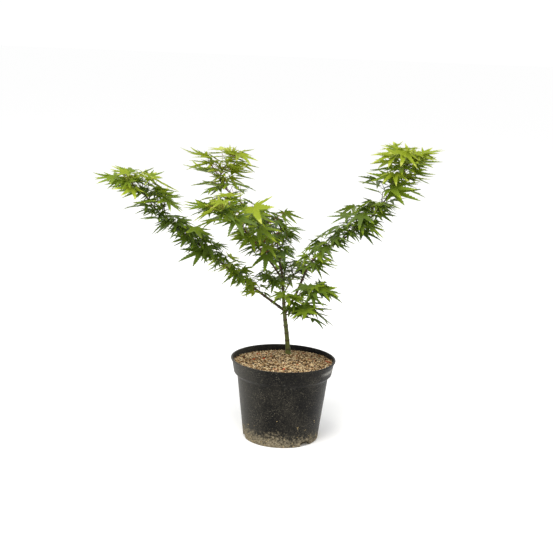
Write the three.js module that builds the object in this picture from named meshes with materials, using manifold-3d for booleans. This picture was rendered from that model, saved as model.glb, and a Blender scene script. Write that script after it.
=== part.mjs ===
// A young Japanese maple in a round plastic nursery pot.
// A thin green trunk stands in mulch and forks low into long, spreading boughs. Palmate
// leaves on short side shoots follow each bough to its tip. Millimetres, +Z up, the origin
// at the middle of the pot's flat underside, and the viewer's side towards -Y.
import * as THREE from "three";
import { mergeVertices } from "three/addons/utils/BufferGeometryUtils.js";
import Module from "manifold-3d";

const wasm = await Module();
wasm.setup();

// ---- Driving dimensions ----

const GAP = 0.3; // between pieces that rest on each other
const ROUND = 32; // facets round the pot
const ALL = 999; // longer than any limb

const POT = {
  height: 176,
  rim: 113, // outer radius of the lip
  band: 31, // height of the thick band under the rim
  bandTop: 110.8, // outer radius of the band under the lip
  bandFoot: 105.6,
  step: 6, // height of the step from the band to the wall
  wallTop: 98.4, // outer radius of the wall under the step
  foot: 81, // outer radius at the bottom
  edge: 1.6, // rounding at the foot
  lip: 3,
  wall: 1.8, // thickness
  floor: 3,
};

// Drainage recesses cut into the foot of the wall. Headings turn from the viewer's side
// towards +X. Each has a lining, which stays inside the wall between two heights.
const DRAIN = {
  headings: [42, 162, 282],
  width: 27,
  height: 11,
  depth: 13,
  over: 12, // how far the cut reaches past the foot of the wall
  under: 4, // and below the floor
  lining: [2, 30],
  inset: 1,
};

const MULCH = {
  joint: 138, // height where the potting mix ends
  edge: 166, // height at the pot's wall
  crown: 176, // and round the trunk
  fall: 0.55,
  lumps: 1.6,
  rings: [0.1, 0.36, 0.62, 0.85, 1], // shares of the way out; the first is the flat seat
  ease: 0.4, // more room at the wall, where facets cut its corners
  rise: 1.2, // room over the potting mix
  seed: 5,
};

// Each limb is a smooth curve walked in a few strides from where it starts. A stride is its
// length, its heading and its climb above the level, in millimetres and degrees. Headings
// turn from +X towards +Y. `bare` is how much of the limb carries no leaves.
const LIMBS = {
  trunk: {
    start: [11.4, 36, 173],
    strides: [[48, 180, 83], [48, 180, 82], [78, 140, 83]],
    radii: [5.2, 2.7],
  },
  left: {
    on: "trunk",
    at: 100,
    strides: [[100, 188, 36], [112, 193, 38], [142, 197, 39], [60, 196, 50], [22, 196, 25]],
    radii: [3.1, 1.1],
    bare: 52,
  },
  right: {
    on: "trunk",
    at: 92,
    strides: [[48, 13, 62], [87, 18, 64], [86, 12, 35], [85, 11, 41], [82, 13, 57], [50, 13, 60]],
    radii: [3.1, 1.1],
    bare: 92,
  },
  leader: {
    on: "trunk",
    at: "tip",
    strides: [[29, 135, 70], [45, 148, 60], [102, 159, 49], [80, 174, 46], [54, -14, 64]],
    radii: [2.6, 1.1],
    bare: 34,
  },
  front: {
    on: "trunk",
    at: 163,
    strides: [[38, 225, 53], [84, 224, 44], [85, 226, 42], [42, 212, 26]],
    radii: [2.3, 1.1],
    bare: 60,
  },
};

const LIMB_SIDES = 8;
const TAPER = { trunk: 1.4, bough: 0.8 }; // how late a limb thins: 1 is steadily
const FLARE = { swell: 2.6, fade: 22 }; // the trunk's swelling at the ground

// Each mass of leaves grows from one stem. `span` takes the stem from a stretch of the limb,
// in millimetres along it. Strides give a side branch that starts on the limb, `at` so far
// along it. `gap` is how far apart its side shoots stand, `reach` how long they are, `leaf` a
// leaf's length from its stalk to its furthest tip, and `droop` how far the leaves hang below
// the level, in degrees.
const MASSES = [
  { name: "left_inner", on: "left", span: [52, 190], gap: 12, reach: 14, leaf: 37, droop: 40, seed: 14 },
  { name: "left_middle", on: "left", span: [190, 310], gap: 12, reach: 18, leaf: 40, droop: 34, seed: 12 },
  { name: "left_tip", on: "left", span: [310, ALL], gap: 22, reach: 32, leaf: 45, droop: 14, seed: 98 },
  { name: "right_inner", on: "right", span: [92, 200], gap: 12, reach: 14, leaf: 38, droop: 34, seed: 21 },
  { name: "right_middle", on: "right", span: [200, 310], gap: 12, reach: 20, leaf: 41, droop: 28, seed: 72 },
  { name: "right_tip", on: "right", span: [310, ALL], gap: 20, reach: 34, leaf: 48, droop: 12, seed: 23 },
  { name: "top_inner", on: "leader", span: [34, 172], gap: 12, reach: 18, leaf: 41, droop: 34, seed: 31 },
  { name: "top_tip", on: "leader", span: [172, ALL], gap: 21, reach: 32, leaf: 46, droop: 14, seed: 33 },
  { name: "front_inner", on: "front", span: [60, 150], gap: 15, reach: 20, leaf: 44, droop: 32, seed: 41 },
  { name: "front_tip", on: "front", span: [150, ALL], gap: 18, reach: 32, leaf: 54, droop: 16, seed: 43 },
  { name: "low_right", on: "trunk", at: 89, gap: 14, reach: 18, leaf: 40, droop: 26, seed: 62,
    strides: [[24, -27, 22], [36, -33, -3]] },
  { name: "side_right", on: "right", at: 39, gap: 14, reach: 22, leaf: 44, droop: 16, seed: 52,
    strides: [[25, -27, 35], [27, -27, -4]] },
  { name: "fork_front", on: "trunk", at: 113, gap: 14, reach: 14, leaf: 44, droop: 24, seed: 53,
    strides: [[26, -77, 28], [18, -80, 12]] },
  { name: "fork_left", on: "trunk", at: 143, gap: 14, reach: 16, leaf: 36, droop: 30, seed: 54,
    strides: [[24, 215, 43], [26, 209, 34]] },
  { name: "fork_back", on: "trunk", at: 135, gap: 20, reach: 22, leaf: 40, droop: 22, seed: 116,
    strides: [[36, 62, 38], [40, 70, 24]] },
  { name: "back", on: "leader", at: 24, gap: 20, reach: 24, leaf: 42, droop: 32, seed: 61,
    strides: [[45, 100, 45], [50, 115, 40], [30, 110, 25]] },
];

const STEM = {
  branch: 1.8, // radius of a side branch at its foot
  tip: 1.1, // and at its tip
  sides: 5,
  step: 22, // length between its rings
  clear: 4, // a stem's first shoot stands this far along it
  branchClear: 9, // or this far, where it leaves a limb
};
const SHOOT = {
  radius: 1.6,
  tip: 1.25,
  angle: 60, // from the stem
  turn: 40, // of one pair about the stem, to either side by turns
  lift: 0.3, // how far chance turns it upwards
  rise: 0.12, // how far its tip rises, as a share of its length
  shortest: 0.55, // as a share of the mass's reach
  spread: 0.7, // between the shortest and the longest
  apart: 1.7,
};
const CROWN = { turns: [0, -58, 58], rise: 0.2, reach: 0.6 }; // the shoots round a stem's tip
const LEAF = {
  lobes: [[-84, 0.64], [-40, 0.92], [0, 1], [40, 0.92], [84, 0.64]], // heading and length
  clefts: [[-61, 0.3], [-19, 0.36], [19, 0.36], [61, 0.3]],
  shoulder: [140, 0.07],
  thickness: 0.03, // at the hub, above and below, as a share of the leaf's length
  ahead: 0.05, // of the hub, to the middle of the underside
  sag: 0.16, // how far a lobe's tip hangs, as a share of its length, so its ridge stays above its underside
  stalk: 0.42, // length of the stalk, as a share of the leaf's length
  stalkRise: [0.86, 0.5], // forwards and up
  stalkRadius: 0.5,
  stalkFlat: 0.7, // its height, as a share of its width
  sunk: 0.1, // how far its end lies past the middle of what carries it, as a share of the radius
};
// What chance changes from leaf to leaf: shares of its size, then degrees.
const SCATTER = { least: 0.8, more: 0.4, droop: 20, roll: 36, turn: 16 };
// A leaf is turned by some degrees, and then made smaller, until it fits.
const TRIES = [1, 0.78, 0.6].flatMap((share) => [0, 30, -30, 60, -60].map((turn) => [turn, share]));
// The leaves of a side shoot: their place along it and their turn from its heading.
const SPRAY = [[0.97, 0], [0.8, -62], [0.62, 62]];
const SPACE = 1.2; // a leaf keeps this far inside its own mass's space
const LEAF_SPACE = 0.17; // and this far from the next leaf, as a share of its length
const STEM_SPACE = 4.2; // and this far from its own stem's middle
const LIMB_SPACE = 2.4; // and this far from a limb's bark
const FINEST = 0.05; // smallest detail kept where pieces are fused
const SPACING = 6; // between the points that stand for a stem when spaces are shared out

const COLOURS = {
  plastic: 0x2b2b29,
  soil: 0x3d2f25,
  mulch: 0xa58a63,
  bark: 0x5d7338,
  boughBark: 0x4a3f2a,
  youngLeaf: 0xa9c437,
  leaf: 0x5c8a22,
};

// ---- Small helpers ----

const UP = new THREE.Vector3(0, 0, 1);
const radians = THREE.MathUtils.degToRad;
const lerp = THREE.MathUtils.lerp;

// Repeatable random numbers from 0 to 1.
function seeded(seed) {
  let state = seed >>> 0;
  return () => {
    state = (state + 0x6d2b79f5) >>> 0;
    let t = Math.imul(state ^ (state >>> 15), state | 1);
    t ^= t + Math.imul(t ^ (t >>> 7), t | 61);
    return ((t ^ (t >>> 14)) >>> 0) / 4294967296;
  };
}

// The direction of a heading and a climb, in degrees.
function direction(heading, climb) {
  const level = Math.cos(radians(climb));
  const [x, y] = [Math.cos(radians(heading)), Math.sin(radians(heading))];
  return new THREE.Vector3(level * x, level * y, Math.sin(radians(climb)));
}

function mix(...terms) {
  const sum = new THREE.Vector3();
  for (const [v, share] of terms) sum.addScaledVector(v, share);
  return sum;
}

// The level direction to the side of a heading.
function sideways(heading) {
  const side = new THREE.Vector3().crossVectors(heading, UP);
  return side.lengthSq() < 1e-6 ? side.set(1, 0, 0) : side.normalize();
}

function solidOf(geometry) {
  const bare = geometry.clone();
  bare.deleteAttribute("normal");
  bare.deleteAttribute("uv");
  const merged = mergeVertices(bare, 1e-3);
  return new wasm.Manifold(
    new wasm.Mesh({
      numProp: 3,
      vertProperties: new Float32Array(merged.attributes.position.array),
      triVerts: new Uint32Array(merged.index.array),
    }),
  );
}

function meshOf(solid) {
  const mesh = solid.getMesh();
  return new THREE.BufferGeometry()
    .setAttribute("position", new THREE.BufferAttribute(mesh.vertProperties, 3))
    .setIndex(new THREE.BufferAttribute(mesh.triVerts, 1));
}

// The largest body of a solid as a mesh, with loose scraps dropped and sealed hollows filled.
// Rounding to 32 bits can pinch off another hollow, so it is done again until one body is left.
function geometryOf(solid) {
  let bodies = solid.simplify(FINEST).decompose();
  let mesh;
  do {
    mesh = meshOf(bodies.reduce((a, b) => (b.volume() > a.volume() ? b : a)));
    bodies = solidOf(mesh).decompose();
  } while (bodies.length > 1);
  return mesh;
}

const part = new THREE.Group();

function addNode(name, geometry, color, roughness) {
  const shaded = geometry.index ? geometry.toNonIndexed() : geometry;
  shaded.computeVertexNormals();
  const mesh = new THREE.Mesh(
    shaded,
    new THREE.MeshStandardMaterial({ color, roughness, metalness: 0 }),
  );
  mesh.name = name;
  part.add(mesh);
}

// ---- Pot, potting mix and mulch ----

function lathe(profile) {
  const points = profile.map(([r, z]) => new THREE.Vector2(r, z));
  return new THREE.LatheGeometry(points, ROUND).rotateX(Math.PI / 2);
}

const BAND_BOTTOM = POT.height - POT.band;
const WALL_HEAD = BAND_BOTTOM - POT.step;

// Outer radius of the wall at a height below the step.
function wallRadius(z) {
  return lerp(POT.foot, POT.wallTop, z / WALL_HEAD);
}

// A block over each drainage recess, grown on all sides but the outer one.
function drainBlocks(grow) {
  const reach = DRAIN.depth + DRAIN.over;
  const top = DRAIN.height + grow;
  return DRAIN.headings.map((heading) => {
    const inner = POT.foot - DRAIN.depth - grow;
    const box = new THREE.BoxGeometry(DRAIN.width + 2 * grow, reach, top + DRAIN.under);
    box.translate(0, -inner - reach / 2, (top - DRAIN.under) / 2);
    return solidOf(box.rotateZ(radians(heading)));
  });
}

function potSolid() {
  const { height, rim, lip, wall, floor } = POT;
  const shell = solidOf(
    lathe([
      [0, 0],
      [POT.foot - POT.edge, 0],
      [wallRadius(POT.edge), POT.edge],
      [POT.wallTop, WALL_HEAD],
      [POT.bandFoot, BAND_BOTTOM],
      [POT.bandTop, height - lip],
      [rim, height - lip],
      [rim, height],
      [POT.bandTop - wall, height],
      [POT.bandFoot - wall, BAND_BOTTOM],
      [POT.wallTop - wall, WALL_HEAD],
      [wallRadius(floor) - wall, floor],
      [0, floor],
    ]),
  );
  // Each recess has a back and a roof of the wall's thickness.
  const [low, high] = DRAIN.lining;
  const inside = solidOf(
    lathe([
      [0, low],
      [wallRadius(low) - DRAIN.inset, low],
      [wallRadius(high) - DRAIN.inset, high],
      [0, high],
    ]),
  );
  const linings = wasm.Manifold.union(drainBlocks(wall)).intersect(inside);
  return shell.add(linings).subtract(wasm.Manifold.union(drainBlocks(0)));
}

function mixSolid() {
  const inset = POT.wall + GAP;
  const fill = solidOf(
    lathe([
      [0, POT.floor + GAP],
      [wallRadius(POT.floor) - inset, POT.floor + GAP],
      [wallRadius(MULCH.joint) - inset, MULCH.joint],
      [0, MULCH.joint],
    ]),
  );
  return fill.subtract(wasm.Manifold.union(drainBlocks(inset)));
}

// The mulch is heaped a little round the trunk, with a flat seat under it.
function mulchGeometry() {
  const random = seeded(MULCH.seed);
  const [tx, ty] = LIMBS.trunk.start;
  const seat = MULCH.rings[0];
  const clear = POT.wall + GAP + MULCH.ease;
  const height = (MULCH.edge - BAND_BOTTOM) / (POT.band - POT.lip);
  const edgeRadius = lerp(POT.bandFoot, POT.bandTop, height) - clear;
  const rings = MULCH.rings.map((share) =>
    Array.from({ length: ROUND }, (_, j) => {
      const a = (j / ROUND) * 2 * Math.PI;
      const fall = Math.pow((share - seat) / (1 - seat), MULCH.fall);
      const lump = share === seat || share === 1 ? 0 : (random() - 0.5) * 2 * MULCH.lumps;
      return [
        lerp(tx, edgeRadius * Math.sin(a), share),
        lerp(ty, edgeRadius * Math.cos(a), share),
        lerp(MULCH.crown, MULCH.edge, fall) + lump,
      ];
    }),
  );
  const bottom = WALL_HEAD + MULCH.rise;
  for (const [radius, z] of [
    [POT.bandFoot - clear, BAND_BOTTOM],
    [POT.wallTop - clear, bottom],
  ])
    rings.push(
      Array.from({ length: ROUND }, (_, j) => {
        const a = (j / ROUND) * 2 * Math.PI;
        return [radius * Math.sin(a), radius * Math.cos(a), z];
      }),
    );
  const places = [[tx, ty, MULCH.crown], ...rings.flat(), [0, 0, bottom]];
  const faces = [];
  const at = (k, j) => 1 + k * ROUND + (j % ROUND);
  const last = places.length - 1;
  for (let j = 0; j < ROUND; j++) {
    faces.push(0, at(0, j + 1), at(0, j));
    for (let k = 0; k + 1 < rings.length; k++) {
      faces.push(at(k, j), at(k, j + 1), at(k + 1, j));
      faces.push(at(k, j + 1), at(k + 1, j + 1), at(k + 1, j));
    }
    faces.push(at(rings.length - 1, j), at(rings.length - 1, j + 1), last);
  }
  return new THREE.BufferGeometry()
    .setAttribute("position", new THREE.Float32BufferAttribute(places.flat(), 3))
    .setIndex(faces);
}

// ---- Limbs ----

// A closed tube along a curve, its radius given at each share of its length.
function tube(curve, radiusAt, sides, steps) {
  const shape = new THREE.CylinderGeometry(1, 1, 1, sides, steps);
  const frames = curve.computeFrenetFrames(steps, false);
  const place = shape.attributes.position;
  for (let i = 0; i < place.count; i++) {
    const k = Math.round((0.5 + place.getY(i)) * steps);
    const radius = radiusAt(k / steps);
    const p = curve
      .getPointAt(k / steps)
      .addScaledVector(frames.normals[k], place.getZ(i) * radius)
      .addScaledVector(frames.binormals[k], place.getX(i) * radius);
    place.setXYZ(i, p.x, p.y, p.z);
  }
  return shape;
}

const curves = {};

// Where a limb or a branch starts: at a place of its own, or part of the way along a limb.
function startOf({ start, on, at }) {
  if (start) return new THREE.Vector3(...start);
  const curve = curves[on];
  if (at === "tip") return curve.getPointAt(1);
  return curve.getPointAt(at / curve.getLength());
}

function walk(limb) {
  const places = [startOf(limb)];
  for (const [length, heading, climb] of limb.strides)
    places.push(places.at(-1).clone().addScaledVector(direction(heading, climb), length));
  return new THREE.CatmullRomCurve3(places);
}

for (const [name, limb] of Object.entries(LIMBS)) curves[name] = walk(limb);

// The trunk swells where it meets the ground. A bough thins steadily to its tip.
function limbRadius(name, share) {
  const [base, tip] = LIMBS[name].radii;
  if (name !== "trunk") return lerp(base, tip, Math.pow(share, TAPER.bough));
  const flare = FLARE.swell * Math.exp(-share * FLARE.fade);
  return lerp(base, tip, Math.pow(share, TAPER.trunk)) + flare;
}

// The stretch of a limb between two distances along it, and its radius there.
function stretch(name, from, to) {
  const curve = curves[name];
  const length = curve.getLength();
  const [a, b] = [from / length, Math.min(to / length, 1)];
  const count = Math.max(4, Math.round(((b - a) * length) / STEM.step));
  const shares = Array.from({ length: count + 1 }, (_, i) => lerp(a, b, i / count));
  const places = shares.map((share) => curve.getPointAt(share));
  return {
    curve: new THREE.CatmullRomCurve3(places),
    radiusAt: (u) => limbRadius(name, lerp(a, b, u)),
    isTip: b === 1,
  };
}

function limbSolid(name, to, grow = 0) {
  const { curve, radiusAt } = stretch(name, 0, to);
  const steps = Math.max(4, Math.round(curve.getLength() / STEM.step));
  const rings = name === "trunk" ? 2 * steps : steps;
  return solidOf(tube(curve, (u) => radiusAt(u) + grow, LIMB_SIDES, rings));
}

// ---- Leaves ----

// The outline of a palmate leaf: its middle lobe points along `heading` from the `hub` and its
// upper face along `face`. The two shoulders are where the blade meets its stalk.
function leafPoints({ hub, heading, face, size }) {
  const across = new THREE.Vector3().crossVectors(face, heading);
  const at = ([degrees, reach]) => {
    const a = radians(degrees);
    const [x, y] = [Math.cos(a) * reach, Math.sin(a) * reach];
    const sag = LEAF.sag * reach;
    return hub.clone().addScaledVector(mix([heading, x], [across, y], [face, -sag]), size);
  };
  const rim = [];
  LEAF.lobes.forEach((lobe, i) => {
    rim.push(at(lobe));
    if (LEAF.clefts[i]) rim.push(at(LEAF.clefts[i]));
  });
  const [turn, reach] = LEAF.shoulder;
  return { rim, shoulders: [at([turn, reach]), at([-turn, reach])] };
}

// A leaf and its stalk as one closed body. The upper face rises to the hub, the underside is
// hollow, and the stalk has three sides and leaves from the underside, behind its middle.
function leafSolid(leaf) {
  const { rim, shoulders } = leafPoints(leaf);
  const top = leaf.hub.clone().addScaledVector(leaf.face, LEAF.thickness * leaf.size);
  const below = mix([leaf.heading, LEAF.ahead], [leaf.face, -LEAF.thickness]);
  const middle = leaf.hub.clone().addScaledVector(below, leaf.size);
  const inwards = new THREE.Vector3().subVectors(leaf.root, leaf.hub).normalize();
  const end = leaf.root.clone().addScaledVector(inwards, LEAF.sunk * leaf.carrier);
  const across = new THREE.Vector3().subVectors(shoulders[0], shoulders[1]).normalize();
  const above = new THREE.Vector3().crossVectors(across, inwards).normalize();
  const [wide, high] = [LEAF.stalkRadius, LEAF.stalkFlat * LEAF.stalkRadius];
  const stalk = [[wide, high], [-wide, high], [0, -high]].map(([x, y]) =>
    end.clone().add(mix([across, x], [above, y])),
  );
  const ring = [...rim, ...shoulders];
  const [s0, s1, hub, under, e0, e1, keel] = [0, 1, 2, 3, 4, 5, 6].map((i) => rim.length + i);
  const faces = ring.flatMap((_, i) => [hub, i, (i + 1) % ring.length]);
  // Under each lobe one triangle, and the web between them as a fan that the stalk closes.
  const web = [s1, ...LEAF.clefts.map((_, i) => 2 * i + 1), s0];
  LEAF.lobes.forEach((_, i) => faces.push(web[i], web[i + 1], 2 * i));
  for (let i = 0; i + 1 < web.length; i++) faces.push(under, web[i + 1], web[i]);
  faces.push(s0, under, keel, s0, keel, e0, under, s1, e1, under, e1, keel);
  faces.push(s1, s0, e0, s1, e0, e1, e0, keel, e1);
  const places = [...ring, top, middle, ...stalk].flatMap((p) => p.toArray());
  return solidOf(
    new THREE.BufferGeometry()
      .setAttribute("position", new THREE.Float32BufferAttribute(places, 3))
      .setIndex(faces),
  );
}

// ---- Masses of foliage ----

for (const mass of MASSES) {
  if (mass.strides) {
    mass.stem = walk(mass);
    mass.radiusAt = (u) => lerp(STEM.branch, STEM.tip, u);
    mass.isTip = true;
    mass.start = STEM.branchClear;
  } else {
    const { curve, radiusAt, isTip } = stretch(mass.on, mass.span[0] + GAP, mass.span[1]);
    Object.assign(mass, { stem: curve, radiusAt, isTip, start: STEM.clear });
  }
  const count = Math.ceil(mass.stem.getLength() / SPACING);
  mass.spine = mass.stem.getSpacedPoints(count);
  mass.taken = []; // points on the leaves and shoots that have grown so far
}

const bareLimbs = Object.entries(LIMBS).map(([name, limb]) => {
  const { curve, radiusAt } = stretch(name, 0, limb.bare ?? ALL);
  const count = Math.ceil(curve.getLength() / SPACING);
  return { places: curve.getSpacedPoints(count), radiusAt, count };
});

function nearest(places, p) {
  return Math.min(...places.map((q) => q.distanceToSquared(p))) ** 0.5;
}

// True if a point lies in the mass's own space: nearer its stem than any other's, and clear
// of the bare limbs.
function inSpace(mass, p) {
  const own = nearest(mass.spine, p);
  const near = MASSES.filter((other) => other !== mass);
  if (near.some((other) => nearest(other.spine, p) < own + SPACE)) return false;
  return bareLimbs.every(({ places, radiusAt, count }) =>
    places.every((q, i) => q.distanceTo(p) > radiusAt(i / count) + LIMB_SPACE),
  );
}

// A leaf fits where all of it lies in its mass's space and clear of the leaves before it.
function leafFits(mass, leaf) {
  const { rim, shoulders } = leafPoints(leaf);
  const lobes = rim.filter((_, i) => i % 2 === 0);
  leaf.samples = [leaf.hub, leaf.hub.clone().lerp(leaf.root, 0.5)];
  for (const share of [0.3, 0.65, 1])
    leaf.samples.push(...lobes.map((p) => leaf.hub.clone().lerp(p, share)));
  const space = LEAF_SPACE * leaf.size;
  const isClear = mass.taken.every((q) => leaf.samples.every((p) => p.distanceTo(q) > space));
  return (
    isClear &&
    leaf.samples.every((p) => nearest(mass.spine, p) > STEM_SPACE) &&
    [...leaf.samples, ...shoulders].every((p) => inSpace(mass, p))
  );
}

// A leaf on a stalk from `root`, towards `heading`, or null where it would leave the space.
function growLeaf(mass, root, heading, random) {
  const fullSize = mass.leaf * (SCATTER.least + SCATTER.more * random());
  const droop = radians(mass.droop + SCATTER.droop * (random() - 0.5));
  const roll = radians(SCATTER.roll * (random() - 0.5));
  const stalk = LEAF.stalk * fullSize * (SCATTER.least + SCATTER.more * random());
  const start = SCATTER.turn * (random() - 0.5);
  const [forwards, up] = LEAF.stalkRise;
  for (const [turn, share] of TRIES) {
    const size = fullSize * share;
    const level = heading.clone().setZ(0).normalize().applyAxisAngle(UP, radians(start + turn));
    const along = mix([level, Math.cos(droop)], [UP, -Math.sin(droop)]);
    const face = mix([level, Math.sin(droop)], [UP, Math.cos(droop)]).applyAxisAngle(along, roll);
    const way = mix([level, forwards], [UP, up]).normalize();
    const hub = root.clone().addScaledVector(way, stalk * share);
    const leaf = { root, hub, heading: along, face, size };
    if (!leafFits(mass, leaf)) continue;
    mass.taken.push(...leaf.samples);
    return leaf;
  }
  return null;
}

// A side shoot with its spray of leaves, `u` along the stem. Where less than a full spray fits,
// the leaves stand on longer stalks from the stem in place of the shoot, a little apart.
function growShoot(mass, u, heading, length, random) {
  const { stem, radiusAt } = mass;
  const root = stem.getPointAt(u);
  const tip = root.clone().add(mix([heading, length], [UP, SHOOT.rise * length]));
  const shoot = new THREE.LineCurve3(root, tip);
  const isClear = inSpace(mass, tip);
  const leaves = SPRAY.map(([share, turn]) => {
    const level = heading.clone().setZ(0).normalize().applyAxisAngle(UP, radians(turn));
    return isClear ? growLeaf(mass, shoot.getPoint(share), level, random) : null;
  }).filter(Boolean);
  if (leaves.length < SPRAY.length)
    return leaves.map((leaf, i) => {
      const at = Math.min(u + (i * SHOOT.apart) / stem.getLength(), 0.99);
      return leafSolid({ ...leaf, root: stem.getPointAt(at), carrier: radiusAt(u) });
    });
  mass.taken.push(...shoot.getPoints(Math.ceil(length / 8)).slice(1));
  const twig = tube(shoot, (share) => lerp(SHOOT.radius, SHOOT.tip, share), 3, 1);
  return [solidOf(twig), ...leaves.map((leaf) => leafSolid({ ...leaf, carrier: SHOOT.tip }))];
}

// Shoots leave the stem in pairs on opposite sides, each pair turned about a right angle from
// the last. The last shoots stand round the stem's tip.
function growMass(mass) {
  const { stem, radiusAt } = mass;
  const length = stem.getLength();
  const steps = Math.max(3, Math.round(length / STEM.step));
  const pieces = [solidOf(tube(stem, radiusAt, STEM.sides, steps))];
  const random = seeded(mass.seed);
  const nodes = Math.max(1, Math.round((length - mass.start) / mass.gap));
  const lean = radians(SHOOT.angle);
  for (let i = 0; i < nodes; i++) {
    const place = mass.start + ((i + 0.3 + 0.3 * random()) * (length - mass.start)) / nodes;
    for (const side of [-1, 1]) {
      const u = (place + side * SHOOT.apart) / length;
      const ahead = stem.getTangentAt(u);
      const out = sideways(ahead).applyAxisAngle(ahead, radians(i % 2 ? SHOOT.turn : -SHOOT.turn));
      const heading = mix(
        [ahead, Math.cos(lean)],
        [out, side * Math.sin(lean)],
        [UP, SHOOT.lift * random()],
      ).normalize();
      const reach = mass.reach * (SHOOT.shortest + SHOOT.spread * random());
      pieces.push(...growShoot(mass, u, heading, reach, random));
    }
  }
  if (mass.isTip)
    CROWN.turns.forEach((turn, i) => {
      const ahead = stem.getTangentAt(1).setZ(CROWN.rise).normalize();
      const u = 1 - ((i + 1) * SHOOT.apart) / length;
      ahead.applyAxisAngle(UP, radians(turn));
      pieces.push(...growShoot(mass, u, ahead, CROWN.reach * mass.reach, random));
    });
  return wasm.Manifold.union(pieces);
}

// ---- The assembly ----

addNode("pot", geometryOf(potSolid()), COLOURS.plastic, 0.55);
addNode("potting_mix", geometryOf(mixSolid()), COLOURS.soil, 0.95);
addNode("bark_mulch", mulchGeometry(), COLOURS.mulch, 0.95);

const grown = Object.fromEntries(
  Object.entries(LIMBS).map(([name, limb]) => [name, limbSolid(name, limb.bare ?? ALL, GAP)]),
);
const trunk = limbSolid("trunk", ALL).trimByPlane([0, 0, 1], MULCH.crown + GAP);
addNode("trunk", geometryOf(trunk), COLOURS.bark, 0.6);
// Each bough ends short of the limbs that carry it.
for (const [node, limb, carriers] of [
  ["leader", "leader", ["trunk"]],
  ["left_bough", "left", ["trunk"]],
  ["right_bough", "right", ["trunk"]],
  ["front_bough", "front", ["trunk", "leader"]],
]) {
  const whole = limbSolid(limb, LIMBS[limb].bare);
  const solid = carriers.reduce((rest, carrier) => rest.subtract(grown[carrier]), whole);
  addNode(node, geometryOf(solid), COLOURS.boughBark, 0.65);
}

for (const mass of MASSES) {
  const whole = growMass(mass);
  const solid = mass.strides ? whole.subtract(grown[mass.on]) : whole;
  const isYoung = mass.name.includes("tip") || mass.name.includes("front");
  const colour = isYoung ? COLOURS.youngLeaf : COLOURS.leaf;
  addNode(`${mass.name}_foliage`, geometryOf(solid), colour, 0.5);
}

export default part;
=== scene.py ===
"""The looks of a young Japanese maple in a round nursery pot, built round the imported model.

Lengths in the tables are millimetres, as in the model's source, and turn into metres where a
mesh is made. Headings turn from +X towards +Y.
"""

import math

import bmesh
import bpy
import numpy as np
from mathutils import Matrix, Vector


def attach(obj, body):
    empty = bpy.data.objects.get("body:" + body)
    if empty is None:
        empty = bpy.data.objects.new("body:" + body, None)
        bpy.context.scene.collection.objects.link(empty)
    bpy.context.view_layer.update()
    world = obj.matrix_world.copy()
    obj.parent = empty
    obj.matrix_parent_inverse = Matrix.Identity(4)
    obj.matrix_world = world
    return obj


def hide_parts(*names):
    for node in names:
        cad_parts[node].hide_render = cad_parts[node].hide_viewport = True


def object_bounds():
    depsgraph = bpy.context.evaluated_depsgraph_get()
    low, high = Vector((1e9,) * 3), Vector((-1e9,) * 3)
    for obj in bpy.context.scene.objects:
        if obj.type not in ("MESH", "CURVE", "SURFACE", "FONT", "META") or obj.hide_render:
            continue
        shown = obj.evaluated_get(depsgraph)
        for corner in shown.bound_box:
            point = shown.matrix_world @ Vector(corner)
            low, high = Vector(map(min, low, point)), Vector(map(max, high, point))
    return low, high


bpy.ops.wm.read_factory_settings(use_empty=True)
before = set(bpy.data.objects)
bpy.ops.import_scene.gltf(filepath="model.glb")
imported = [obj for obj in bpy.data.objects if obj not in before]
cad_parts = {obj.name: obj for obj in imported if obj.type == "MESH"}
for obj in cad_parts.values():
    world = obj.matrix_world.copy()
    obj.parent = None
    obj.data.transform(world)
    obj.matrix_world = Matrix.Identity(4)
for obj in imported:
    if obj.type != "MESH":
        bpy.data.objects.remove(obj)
CAD_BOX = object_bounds()

MM = 0.001
UP, RIGHT = np.array([0.0, 0.0, 1.0]), np.array([1.0, 0.0, 0.0])
ALL = 999  # past the end of any limb
GAP = 0.3  # between a bough's end and the stem that goes on from it

# ---- The plan, as in the model's source ----


class Named(dict):
    """Values with names, which are also read and set as attributes."""

    __getattr__, __setattr__ = dict.__getitem__, dict.__setitem__


def table(columns, *rows):
    return [Named(zip(columns.split(), row)) for row in rows]


POT = Named(
    height=176, rim=113, band=31, band_top=110.8, band_foot=105.6, step=6, wall_top=98.4,
    foot=81, edge=1.6, lip=3, wall=1.8, floor=3,
)
DRAIN = Named(headings=(42, 162, 282), width=27, height=11, depth=13)
MULCH = Named(crown=176, edge=166)

TRUNK_START = (11.4, 36, 173)
LIMBS = {
    "trunk": Named(
        start=TRUNK_START, radii=(5.2, 2.7), strides=((48, 180, 83), (48, 180, 82), (78, 140, 83))
    ),
    "left": Named(
        on="trunk", at=100, bare=52, radii=(3.1, 1.1),
        strides=((100, 188, 36), (112, 193, 38), (142, 197, 39), (60, 196, 50), (22, 196, 25)),
    ),
    "right": Named(
        on="trunk", at=92, bare=92, radii=(3.1, 1.1),
        strides=((48, 13, 62), (87, 18, 64), (86, 12, 35), (85, 11, 41), (82, 13, 57),
                 (50, 13, 60)),
    ),
    "leader": Named(
        on="trunk", at="tip", bare=34, radii=(2.6, 1.1),
        strides=((29, 135, 70), (45, 148, 60), (102, 159, 49), (80, 174, 46), (54, -14, 64)),
    ),
    "front": Named(
        on="trunk", at=163, bare=60, radii=(2.3, 1.1),
        strides=((38, 225, 53), (84, 224, 44), (85, 226, 42), (42, 212, 26)),
    ),
}
TAPER = dict(trunk=1.4, bough=0.8)
FLARE = Named(swell=2.6, fade=22)

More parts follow.
